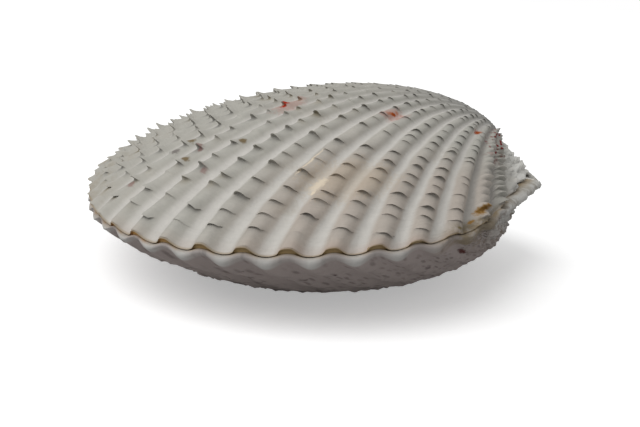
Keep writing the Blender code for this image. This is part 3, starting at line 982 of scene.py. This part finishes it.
CHALK = paint(184, 182, 174)
WARM_CHALK = paint(184, 174, 164)
GROOVE_CHALK = paint(204, 201, 195)
# Painted shade for the grooves by the near ear and between the ear's riblets.
GROOVE_SHADE_GREY = paint(166, 162, 156)
BEAK_CHALK = paint(180, 179, 175)
EAR_CHALK = paint(200, 199, 194)
UPPER_EAR_CHALK = paint(226, 225, 220)
LOWER_CHALK = paint(160, 149, 145)
# The lower lip's pale chalk, also used as painted highlight on its lumps.
LIP_CHALK_AND_HIGHLIGHT = paint(190, 189, 185)
INSIDE_CHALK = paint(214, 210, 202)
# Painted shade for the hollows under the scales and between beads.
HOLLOW_SHADE_GREY = paint(126, 124, 119)
# Painted shade for the lower valve's pits, and the colour of two dark marks.
PIT_SHADE_AND_MARK_GREY = paint(98, 88, 86)
DUST = paint(150, 138, 118)
GRIME = paint(120, 107, 84)
RIM_BROWN = paint(148, 126, 90)
RIM_OCHRE = paint(178, 136, 80)
STAIN = paint(176, 150, 134)
# Painted shade for the gap at the near ear's tip.
SLIT_SHADE = paint(44, 34, 26)
CREAM = paint(226, 212, 190)
BEIGE = paint(190, 172, 148)
PINK = paint(186, 138, 128)
RED = paint(172, 52, 30)
ORANGE = paint(180, 92, 38)
DARK_ORANGE = paint(160, 74, 24)
OLIVE = paint(112, 98, 62)
DARK_OLIVE = paint(112, 92, 54)
OCHRE = paint(140, 104, 42)
DARK_OCHRE = paint(88, 60, 22)
DARK_RED = paint(58, 12, 2)
SPECK_RED = paint(120, 34, 30)
HORN_DARK = paint(58, 38, 24)
HORN_BROWN = paint(94, 66, 42)
HORN_PALE = paint(142, 112, 76)

# Noise over the shell, as a scale, a detail and a roughness: broad clouds, mottling, and chalk grain. Growth
# lines are noise stretched along the margin, so they take scales for the growth stage, the rib count and the
# valve.
CLOUDS = (75.0, 3.0, 0.5)
MOTTLE = (430.0, 4.0, 0.62)
GRAIN = (1900.0, 3.0, 0.7)
LINES = (1.0, 3.0, 0.65)
LINE_SCALES = (240.0, 0.6, 9.0)

# The chalk: warm at the near side's margin, bright in the grooves, with painted shade in the grooves by the
# near ear and between the ear's riblets, cooler at the beak.
WARM_FROM = (-3.0, 0.0)
WARM_UNTIL = (4.5, 6.0)
WARM_STAGES = (0.60, 0.85)
WARM_SHARE = 0.8
CLOUD_WARMTH = 0.5
LEAST_WARMTH = 0.2
SHADED_GROOVES = (3.4, 4.8)
GROOVE_EDGE = (0.10, 0.62)
EAR_GROOVE_EDGE = (0.05, 0.45)
YOUNG_STAGES = (0.12, 0.50)
PALE_EAR = (6.2, 7.4)
PALE_EAR_SHARE = 0.85

# The lower valve: pits in cells along the ribs, darkened with painted shade, pale and crusty parts by the
# near ear, and a pale lip with painted highlights on its lumps.
PIT_CELLS = (7.0, 31.0)
PIT_EDGE = (0.15, 0.55)
PITS_KEPT = (0.30, 0.60)
PIT_SHADE_SHARE = 0.55
PALE_SIDE = (4.3, 6.2)
PALE_MOTTLE = (0.35, 0.60)
PALE_SHARE = 0.85
CRUST_MOTTLE = (0.46, 0.62)
CRUST_GRIME = 0.45
LIP_STAGES = (0.993, 1.0)
LUMP_POWER = 1.6
LIP_SHARES = (0.30, 0.90)
LIP_FADE = (2.0, 3.6)
LIP_FADE_SHARE = 0.6

# Shades: the darkest and the lightest that the mottling, the growth lines and the grain make.
MOTTLE_SHARE = 0.9
CLOUD_SHARE = 0.4
SHADE_START = 0.15
MOTTLE_SHADES = (0.86, 1.08)
LINE_SHADES = (0.93, 1.07)
GRAIN_SHADES = (0.95, 1.05)

# Painted shade in the hollows under the scales: darker towards the ventral end, and olive dirt in some of
# them there.
OLIVE_CLOUDS = (0.52, 0.62)
OLIVE_ENDWARD = (1.5, 4.0)
DARK_HOLLOWS_ENDWARD = (1.0, 5.0)
HOLLOW_SHADES = (0.64, 0.85)
LOWER_HOLLOW_SHADE = 0.12

# Dust all over and at the ventral end, and grime in the near corner.
DUST_CLOUDS = (0.55, 0.75)
DUST_SHARE = 0.30
DUST_MOTTLE = (0.45, 0.65)
END_DUST_ENDWARD = (6.0, 9.0)
END_DUST_STAGES = (0.88, 0.97)
END_DUST_SHARE = 0.45
CORNER_FROM = (3.2, 4.4)
CORNER_UNTIL = (5.4, 6.2)
GRIME_STAGES = (0.950, 0.985)
GRIME_MOTTLE = (0.34, 0.54)
GRIME_SHARE = 0.85

# The rim: brown, ochre towards the ventral end, dusty where the arches are filled, and painted shade at the
# ear's slit, with a stain and a thin fringe beside it on the upper valve.
OCHRE_ENDWARD = (1.0, 4.0)
OCHRE_MOTTLE = (0.35, 0.60)
DUSTY_UNTIL = (5.6, 6.6)
DUSTY_SHARE = 0.60
SLIT = (NEAR_END_COUNT - 1.1, NEAR_END_COUNT - 0.2)
SLIT_SHARE = 0.9
STAIN_STAGES = (0.975, 1.0)
STAIN_CLOUDS = (0.30, 0.60)
STAIN_END_ENDWARD = (3.5, 6.0)
STAIN_SHARE = 0.45
FRINGE_STAGES = (0.9955, 1.0)
FRINGE_SHARE = 0.60

# Marks the shell has picked up: the rib count and growth stage each lies at, half its width and length in the
# same units, its colour and its strength. The lower valve's marks count their ribs from LOWER_MARKS.
LOWER_MARKS = 100.0
MARKS = {
    "beige tint": ((0.3, 0.82), (1.5, 0.070), BEIGE, 0.40),
    "cream streak": ((-1.17, 0.79), (0.07, 0.045), CREAM, 0.75),
    "cream patch": ((-0.40, 0.84), (0.20, 0.023), CREAM, 0.80),
    "cream drop": ((-0.37, 0.863), (0.07, 0.006), CREAM, 1.0),
    "blush round the red streak": ((-4.95, 0.635), (0.50, 0.042), PINK, 0.45),
    "red streak": ((-4.92, 0.643), (0.09, 0.012), RED, 1.0),
    "blush round the orange mark": ((-0.7, 0.553), (0.70, 0.030), PINK, 0.50),
    "orange mark": ((-0.72, 0.552), (0.13, 0.0075), DARK_ORANGE, 1.0),
    "orange speck": ((3.6, 0.47), (0.30, 0.022), DARK_ORANGE, 1.0),
    "far olive mark": ((-5.9, 0.815), (0.13, 0.008), DARK_OLIVE, 0.85),
    "near olive mark": ((-3.85, 0.775), (0.12, 0.007), DARK_OLIVE, 0.85),
    "brown mark": ((-4.9, 0.854), (0.12, 0.008), DARK_OLIVE, 0.85),
    "reddish mark": ((-4.95, 0.822), (0.12, 0.008), SPECK_RED, 0.45),
    "pink mark at the end": ((-5.95, 0.936), (0.13, 0.007), SPECK_RED, 0.45),
    "pink mark": ((-3.85, 0.862), (0.11, 0.007), SPECK_RED, 0.40),
    "dark mark": ((-5.9, 0.847), (0.12, 0.008), PIT_SHADE_AND_MARK_GREY, 0.70),
    "ochre blob": ((4.87, 0.943), (0.22, 0.020), OCHRE, 0.95),
    "middle of the blob": ((4.90, 0.943), (0.15, 0.012), DARK_OCHRE, 0.80),
    "brown drop": ((4.63, 0.972), (0.09, 0.007), OCHRE, 0.90),
    "second brown drop": ((4.15, 0.985), (0.12, 0.005), OLIVE, 0.85),
    "dark red spot": ((LOWER_MARKS + 4.0, 0.866), (0.13, 0.045), DARK_RED, 1.0),
    "dark spot": ((LOWER_MARKS + 2.7, 0.846), (0.10, 0.016), PIT_SHADE_AND_MARK_GREY, 0.9),
}
MARK_EDGE = (0.45, 1.20)
RAGGED = (2300.0, 2.0)
RAGGEDNESS = 1.2

# Specks in small cells, over two regions given as marks are: red ones by the beak, and a spatter of orange.
SPECK_SCALE = 1050.0
SPECK_EDGE = (0.32, 0.58)
SPECKS_KEPT = (0.34, 0.40)
SPECKS = (((5.6, 0.45), (1.3, 0.26), SPECK_RED, 1.0), ((-0.7, 0.552), (0.42, 0.022), ORANGE, 0.60))

# How the shell takes the light, and the heights of its fine relief, as shares of the bump.
SHELL_ROUGHNESS = (0.62, 0.92)
SHELL_SPECULAR = 0.12
GRAIN_BUMP = 0.30
MOTTLE_BUMP = 0.40
LINE_BUMP = 0.30
PIT_BUMP = 0.35
SHELL_BUMP = (0.00030, 0.75)

# The ligament's layers, stretched over it as its own scales say, and its patches.
LAYER_SCALES = (900.0, 160.0, 5200.0)
LAYER_NOISE = (1.0, 3.0, 0.6)
LAYER_EDGE = (0.35, 0.65)
PATCH_NOISE = (700.0, 3.0)
SPLIT_EDGE = (0.28, 0.40)
SPLIT_SHARE = 0.7
LAYER_ROUGHNESS = (0.38, 0.70)
LAYER_BUMP = 0.7
PATCH_BUMP = 0.3
LIGAMENT_BUMP = (0.00012, 0.8)


class FinishTree(Tree):
    """A material's nodes."""

    def __init__(self, name):
        self.material = bpy.data.materials.new(name)
        self.material.use_nodes = True
        super().__init__(self.material.node_tree)
        self.shader = self.tree.nodes["Principled BSDF"]

    def attribute(self, name):
        """A number kept on the mesh."""
        return self.from_node("ShaderNodeAttribute", {}, "Fac", attribute_name=name)

    def own_place(self):
        """The place on the object, in metres."""
        return self.from_node("ShaderNodeTexCoord", {}, "Object")

    def mixed(self, share, first, second):
        """Two colours mixed."""
        return self.from_node("ShaderNodeMix", {0: share, 6: first, 7: second}, 2, data_type="RGBA")

    def cells(self, place, scale):
        """Scattered cells: how far from the middle of one, in cells, and its own random number."""
        made = self.node("ShaderNodeTexVoronoi", voronoi_dimensions="3D")
        self.join(made.inputs["Vector"], place)
        self.join(made.inputs["Scale"], scale)
        own = self.parts(Field(self, made.outputs["Color"]))[0]
        return Field(self, made.outputs["Distance"]), own

    def bumped(self, height, distance, strength):
        """A normal bumped by a height from 0 to 1."""
        inputs = {"Height": height, "Distance": distance, "Strength": strength}
        return self.from_node("ShaderNodeBump", inputs)


class ShellFinish(FinishTree):
    """Dry chalky shell: bright grooves, grey hollows under scales, growth lines, a brown rim, and marks."""

    def __init__(self, name):
        super().__init__(name)
        self.own = self.own_place()
        self.count = self.attribute("rib_count")
        self.endward = -self.count
        self.growth = self.attribute("growth")
        self.lower = self.attribute("lower")
        self.upper = 1.0 - self.lower
        self.crest = self.attribute("crest")
        self.clouds = self.noise(self.own, *CLOUDS)
        self.mottle = self.noise(self.own, *MOTTLE)
        self.grain = self.noise(self.own, *GRAIN)
        along, across, valve = LINE_SCALES
        stretched = self.place(self.growth * along, self.count * across, self.lower * valve)
        self.lines = self.noise(stretched, *LINES)
        self.ear = self.eased(self.count, *PALE_EAR)
        corner_end = 1.0 - self.eased(self.count, *CORNER_UNTIL)
        self.corner = self.eased(self.count, *CORNER_FROM) * corner_end
        colour = self.mixed(self.lower, self.upper_chalk(), self.lower_chalk())
        colour = self.shaded(colour)
        colour = self.dusty(colour)
        colour = self.rimmed(colour)
        colour = self.mixed(self.attribute("inside"), colour, INSIDE_CHALK)
        colour = self.marked(colour)
        self.join(self.shader.inputs["Base Color"], colour)
        self.join(self.shader.inputs["Roughness"], self.between(self.mottle, *SHELL_ROUGHNESS))
        self.shader.inputs["Specular IOR Level"].default_value = SHELL_SPECULAR
        height = self.grain * GRAIN_BUMP + self.mottle * MOTTLE_BUMP + self.lines * LINE_BUMP
        height = height - self.pits * self.lower * PIT_BUMP
        self.join(self.shader.inputs["Normal"], self.bumped(height, *SHELL_BUMP))

    def upper_chalk(self):
        """The upper valve's colour, with painted shade in the grooves by the near ear and on the ear."""
        warm = self.eased(self.count, *WARM_FROM) * (1.0 - self.eased(self.count, *WARM_UNTIL))
        warm = warm * self.eased(self.growth, *WARM_STAGES)
        warmth = self.clamped(warm * WARM_SHARE + self.clouds * CLOUD_WARMTH - LEAST_WARMTH)
        crests = self.mixed(warmth, CHALK, WARM_CHALK)
        # Painted shade in the grooves by the near ear.
        grooves = self.mixed(self.eased(self.count, *SHADED_GROOVES), GROOVE_CHALK, GROOVE_SHADE_GREY)
        colour = self.mixed(self.eased(self.crest, *GROOVE_EDGE), grooves, crests)
        colour = self.mixed(1.0 - self.eased(self.growth, *YOUNG_STAGES), colour, BEAK_CHALK)
        # Painted shade between the ear's riblets.
        ear_colour = self.mixed(self.eased(self.crest, *EAR_GROOVE_EDGE), GROOVE_SHADE_GREY, UPPER_EAR_CHALK)
        return self.mixed(self.ear * PALE_EAR_SHARE, colour, ear_colour)

    def lower_chalk(self):
        """The lower valve's colour: darker, with painted shade in its pits, but for its pale lip, with
        painted highlights on its lumps, and the side by the near ear.
        """
        across, along = PIT_CELLS
        pit_place = self.place(self.count * across, self.growth * along, self.lower)
        spacing, kept = self.cells(pit_place, 1.0)
        self.pits = (1.0 - self.eased(spacing, *PIT_EDGE)) * self.eased(kept, *PITS_KEPT)
        # Painted shade in the pits.
        colour = self.mixed(self.pits * PIT_SHADE_SHARE, LOWER_CHALK, PIT_SHADE_AND_MARK_GREY)
        patchy = self.eased(self.count, *PALE_SIDE) * self.eased(self.mottle, *PALE_MOTTLE) * PALE_SHARE
        colour = self.mixed(self.clamped(self.ear + patchy), colour, EAR_CHALK)
        crusty = self.eased(self.count, *CRUST_FROM) * self.eased(1.0 - self.mottle, *CRUST_MOTTLE)
        colour = self.mixed(crusty * CRUST_GRIME, colour, GRIME)
        # The pale lip, brighter on the lumps at the rib ends: partly its own paler chalk, partly painted
        # highlight.
        lump_highlight = self.between(self.math("POWER", self.crest, LUMP_POWER), *LIP_SHARES)
        lip = self.eased(self.growth, *LIP_STAGES) * lump_highlight
        lip = lip * (1.0 - self.eased(self.count, *LIP_FADE) * LIP_FADE_SHARE)
        return self.mixed(lip, colour, LIP_CHALK_AND_HIGHLIGHT)

    def shaded(self, colour):
        """The chalk with its mottling, growth lines and grain, and painted shade in the hollows under the
        scales and between beads.
        """
        mottling = self.clamped(self.mottle * MOTTLE_SHARE + self.clouds * CLOUD_SHARE - SHADE_START)
        shade = self.between(mottling, *MOTTLE_SHADES) * self.between(self.lines, *LINE_SHADES)
        colour = self.scaled(colour, shade * self.between(self.grain, *GRAIN_SHADES))
        # Painted shade in the hollows, with olive dirt in some of them at the ventral end.
        olive = self.eased(self.clouds, *OLIVE_CLOUDS) * self.eased(self.endward, *OLIVE_ENDWARD)
        hollow = self.mixed(olive, HOLLOW_SHADE_GREY, OLIVE)
        depth = self.between(self.eased(self.endward, *DARK_HOLLOWS_ENDWARD), *HOLLOW_SHADES)
        painted_shade = self.attribute("painted_shade") * self.between(self.lower, depth, LOWER_HOLLOW_SHADE)
        return self.mixed(self.clamped(painted_shade), colour, hollow)

    def dusty(self, colour):
        """The same with dust and grime."""
        end_dust = self.eased(self.endward, *END_DUST_ENDWARD) * self.eased(self.growth, *END_DUST_STAGES)
        dust = self.eased(self.clouds, *DUST_CLOUDS) * DUST_SHARE + end_dust * END_DUST_SHARE
        dust = self.clamped(dust) * self.eased(self.mottle, *DUST_MOTTLE)
        grime = self.corner * self.eased(self.growth, *GRIME_STAGES)
        grime = grime * self.eased(self.mottle, *GRIME_MOTTLE) * GRIME_SHARE
        return self.mixed(grime, self.mixed(dust, colour, DUST), GRIME)

    def rimmed(self, colour):
        """The same with the brown rim, painted shade at the near ear's slit, and the stain and fringe beside
        it.
        """
        stain = self.eased(self.growth, *STAIN_STAGES) * self.eased(self.clouds, *STAIN_CLOUDS)
        stain = stain * self.upper * (1.0 - self.ear) * STAIN_SHARE
        stain = stain * (1.0 - self.eased(self.endward, *STAIN_END_ENDWARD)) * (1.0 - self.corner)
        colour = self.mixed(stain, colour, STAIN)
        fringe = self.eased(self.growth, *FRINGE_STAGES) * self.upper * (1.0 - self.ear) * FRINGE_SHARE
        colour = self.mixed(fringe, colour, RIM_BROWN)
        ochre = self.eased(self.endward, *OCHRE_ENDWARD) * self.eased(self.mottle, *OCHRE_MOTTLE)
        brown = self.mixed(ochre, RIM_BROWN, RIM_OCHRE)
        filled = self.eased(self.count, *FILLED_FROM) * (1.0 - self.eased(self.count, *DUSTY_UNTIL))
        brown = self.mixed(filled * DUSTY_SHARE, brown, DUST)
        # Painted shade where the valves gape at the near ear's tip.
        brown = self.mixed(self.eased(self.count, *SLIT) * SLIT_SHARE, brown, SLIT_SHADE)
        return self.mixed(self.clamped(self.attribute("rim")), colour, brown)

    def mark_at(self, middle, reach, ragged):
        """A soft mark at this rib count and growth stage, with its edge as ragged as asked."""
        across = (self.count + self.lower * LOWER_MARKS - middle[0]) / reach[0]
        along = (self.growth - middle[1]) / reach[1]
        far = self.math("SQRT", across * across + along * along) + ragged
        return 1.0 - self.eased(far, *MARK_EDGE)

    def marked(self, colour):
        """The same with its marks and specks."""
        ragged = (self.noise(self.own, *RAGGED) - 0.5) * RAGGEDNESS
        for middle, reach, paint_colour, strength in MARKS.values():
            colour = self.mixed(self.mark_at(middle, reach, ragged) * strength, colour, paint_colour)
        spacing, kept = self.cells(self.own, SPECK_SCALE)
        specks = (1.0 - self.eased(spacing, *SPECK_EDGE)) * self.eased(kept, *SPECKS_KEPT)
        for middle, reach, paint_colour, strength in SPECKS:
            share = specks * self.mark_at(middle, reach, 0.0) * strength
            colour = self.mixed(share, colour, paint_colour)
        return colour


def ligament_finish(name):
    """Dry horny ligament: dark brown layers along the hinge line, paler where they have split."""
    tree = FinishTree(name)
    place = tree.own_place()
    layers = tree.noise(tree.vector("MULTIPLY", place, LAYER_SCALES), *LAYER_NOISE)
    patches = tree.noise(place, *PATCH_NOISE)
    colour = tree.mixed(tree.eased(layers, *LAYER_EDGE), HORN_DARK, HORN_BROWN)
    colour = tree.mixed(tree.eased(layers * patches, *SPLIT_EDGE) * SPLIT_SHARE, colour, HORN_PALE)
    tree.join(tree.shader.inputs["Base Color"], colour)
    tree.join(tree.shader.inputs["Roughness"], tree.between(layers, *LAYER_ROUGHNESS))
    height = layers * LAYER_BUMP + patches * PATCH_BUMP
    tree.join(tree.shader.inputs["Normal"], tree.bumped(height, *LIGAMENT_BUMP))
    return tree.material


# The room.

WHITE = (1.0, 1.0, 1.0, 1.0)
FLOOR_SIZE = 6.0
FLOOR_BOUNCE = (0.55, 0.55, 0.55, 1.0)
FLOOR_SEEN = (0.95, 0.95, 0.95, 1.0)
FLOOR_GLOW = 0.38
SKY_LIGHT = 0.40
SUN_POWER = 1.7
SUN_SPREAD = radians(50.0)
SUN_FROM = Vector((-0.62, -0.10, 0.77))


def seen_straight(tree):
    """1 for what is seen directly, in a reflection or through glass, and 0 for what only lights the shell."""
    rays = tree.node("ShaderNodeLightPath")
    names = ("Is Camera Ray", "Is Glossy Ray", "Is Transmission Ray")
    camera, glossy, through = [Field(tree, rays.outputs[name]) for name in names]
    return tree.math("MAXIMUM", tree.math("MAXIMUM", camera, glossy), through)


def build_floor():
    """A plain pale floor, white where the camera sees it lit, that keeps the shell's shadow."""
    bpy.ops.mesh.primitive_plane_add(size=FLOOR_SIZE, location=(0.0, 0.0, 0.0))
    floor = bpy.context.active_object
    floor.name = "floor"
    tree = FinishTree("pale floor")
    seen = seen_straight(tree)
    tree.join(tree.shader.inputs["Base Color"], tree.mixed(seen, FLOOR_BOUNCE, FLOOR_SEEN))
    tree.shader.inputs["Roughness"].default_value = 1.0
    tree.shader.inputs["Specular IOR Level"].default_value = 0.0
    tree.shader.inputs["Emission Color"].default_value = WHITE
    tree.join(tree.shader.inputs["Emission Strength"], seen * FLOOR_GLOW)
    floor.data.materials.append(tree.material)
    return floor


def light_room():
    """Soft studio light from above and behind on the left, with a pale world."""
    world = bpy.data.worlds.new("studio")
    bpy.context.scene.world = world
    world.use_nodes = True
    tree = Tree(world.node_tree)
    background = world.node_tree.nodes["Background"]
    background.inputs["Color"].default_value = WHITE
    tree.join(background.inputs["Strength"], tree.between(seen_straight(tree), SKY_LIGHT, 1.0))
    data = bpy.data.lights.new("window", "SUN")
    data.energy = SUN_POWER
    data.angle = SUN_SPREAD
    lamp = bpy.data.objects.new("window", data)
    lamp.rotation_euler = (-SUN_FROM).to_track_quat("-Z", "Y").to_euler()
    bpy.context.scene.collection.objects.link(lamp)


def place_camera():
    """The camera, low on the near side."""
    data = bpy.data.cameras.new("camera")
    data.lens = CAMERA_LENS
    data.sensor_width = SENSOR_WIDTH
    data.clip_start = NEAREST_SEEN
    data.clip_end = FARTHEST_SEEN
    camera = bpy.data.objects.new("camera", data)
    camera.location = CAMERA_PLACE
    aim = (CAMERA_TARGET - CAMERA_PLACE).to_track_quat("-Z", "Y")
    roll = Euler((0.0, 0.0, CAMERA_ROLL)).to_quaternion()
    camera.rotation_mode = "QUATERNION"
    camera.rotation_quaternion = aim @ roll
    bpy.context.scene.collection.objects.link(camera)
    bpy.context.scene.camera = camera


def main():
    """Loads the frame, grows the three pieces over it, and sets up the room."""
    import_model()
    valve = ValveTree(margin_group(), horn_group()).tree
    chalk = ShellFinish("chalky shell").material
    upper = grow(
        "upper_shell",
        valve,
        upper=1.0,
        hinge_end=UPPER_HINGE_END,
        rib_shift=UPPER_RIB_SHIFT,
        seed=UPPER_SEED,
        rib_height=UPPER_RIB_HEIGHT,
        scale_height=UPPER_SCALE_HEIGHT,
        hood_width=UPPER_HOOD_WIDTH,
        shell_material=chalk,
    )
    lower = grow(
        "lower_shell",
        valve,
        upper=0.0,
        hinge_end=LOWER_HINGE_END,
        rib_shift=LOWER_RIB_SHIFT,
        seed=LOWER_SEED,
        rib_height=LOWER_RIB_HEIGHT,
        scale_height=LOWER_SCALE_HEIGHT,
        hood_width=LOWER_HOOD_WIDTH,
        shell_material=chalk,
    )
    ligament = grow(
        "dry_ligament",
        ligament_group(),
        half_width=LIGAMENT_HALF_WIDTH,
        half_height=LIGAMENT_HALF_HEIGHT,
        thickness=LIGAMENT_THICKNESS,
        gap=LIGAMENT_GAP,
        ligament_material=ligament_finish("dry ligament"),
    )
    fittings = (
        (upper, "upper_valve", "shell"),
        (lower, "lower_valve", "shell"),
        (ligament, "ligament", "ligament"),
    )
    for piece, node, slot in fittings:
        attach(piece, "root")
        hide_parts(node)
    build_floor()
    light_room()
    place_camera()
    bpy.context.scene.view_settings.view_transform = "Standard"


main()
